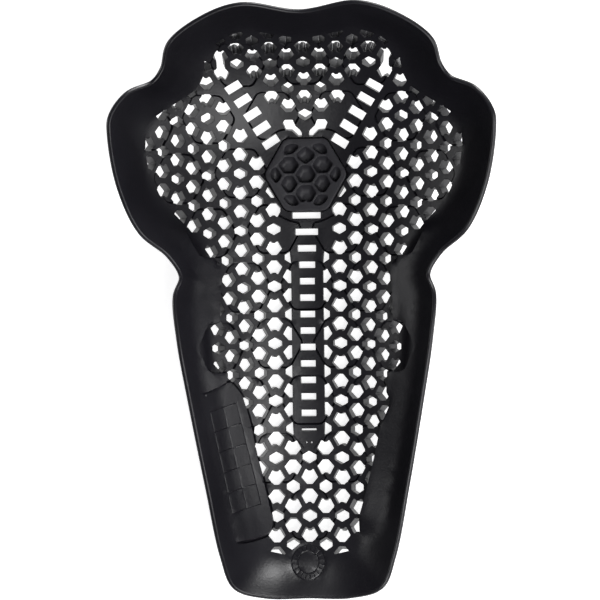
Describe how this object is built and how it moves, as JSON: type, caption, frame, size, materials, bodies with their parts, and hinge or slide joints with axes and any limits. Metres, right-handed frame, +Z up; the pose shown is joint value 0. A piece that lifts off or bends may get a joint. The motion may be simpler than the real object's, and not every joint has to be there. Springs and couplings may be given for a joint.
{
  "type": "elbow guard",
  "caption": "Soft moulded elbow and forearm guard: a hollow shell with a flared solid rim, a pierced honeycomb net, a ladder strip down the spine and a hexagonal elbow pad.",
  "frame": {"origin": "centre of the overall box, on the surface that the guard lies on", "axes": "+X to the wearer's side of the right wing as seen into the hollow, +Y along the spine from the wrist end to the elbow end, +Z up out of the hollow"},
  "size_m": [0.1632, 0.253, 0.0539],
  "materials": {
    "shell_rubber": "satin black moulded elastomer",
    "pad_rubber": "matt black moulded elastomer"
  },
  "bodies": {
    "root": {"guard_shell": "shell_rubber", "elbow_pad": "pad_rubber"}
  },
  "joints": []
}
